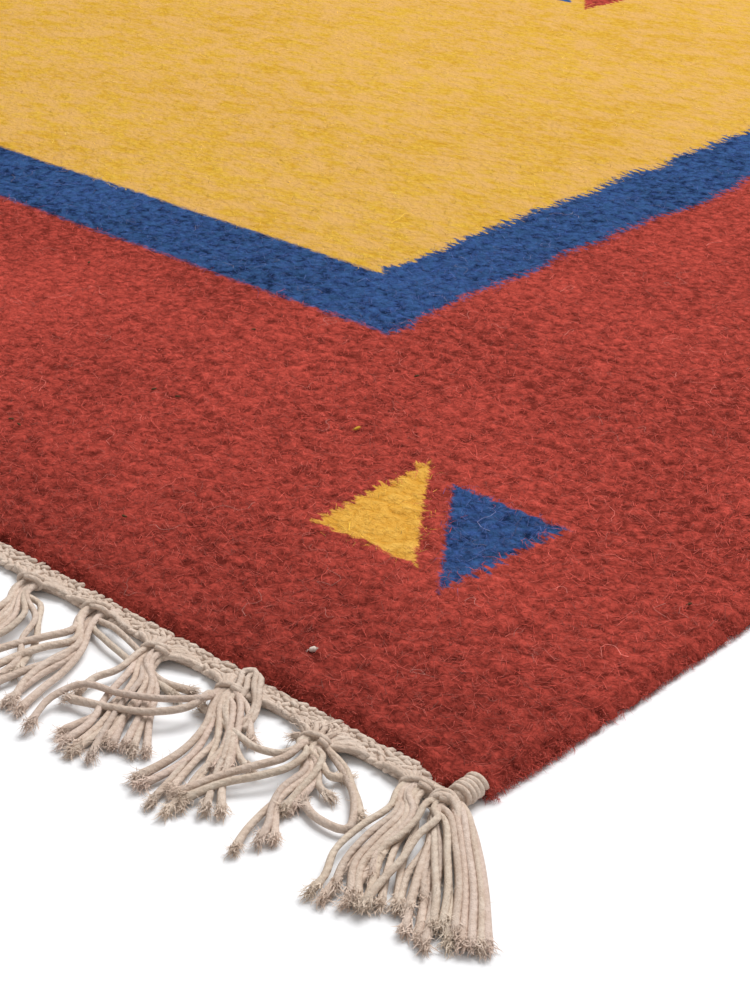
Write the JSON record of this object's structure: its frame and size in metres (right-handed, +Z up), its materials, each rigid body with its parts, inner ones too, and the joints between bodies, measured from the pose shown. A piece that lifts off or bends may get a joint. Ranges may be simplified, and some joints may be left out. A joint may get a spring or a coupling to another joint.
{
  "type": "kilim rug",
  "caption": "Flat-woven wool kilim rug lying on the floor, with a red border, a blue frame, a yellow field, small split-square motifs and a knotted cotton fringe along each end.",
  "frame": {"origin": "middle of the rug on the floor, under the centre of its overall box", "axes": "+X along the weft, across the rug; +Y along the warp, from the near fringe to the far fringe; +Z up"},
  "size_m": [1.4738, 2.116, 0.0076],
  "materials": {
    "wool": "felted flat-woven wool, matte; madder red with an indigo blue frame and a warm yellow field",
    "cotton": "undyed plied cotton warp, matte"
  },
  "bodies": {
    "root": {"ground": "wool", "end_band_near": "cotton", "end_band_far": "cotton", "fringe_near": "cotton", "fringe_far": "cotton", "whipping_near_right": "cotton", "whipping_near_left": "cotton", "whipping_far_right": "cotton", "whipping_far_left": "cotton"}
  },
  "joints": []
}
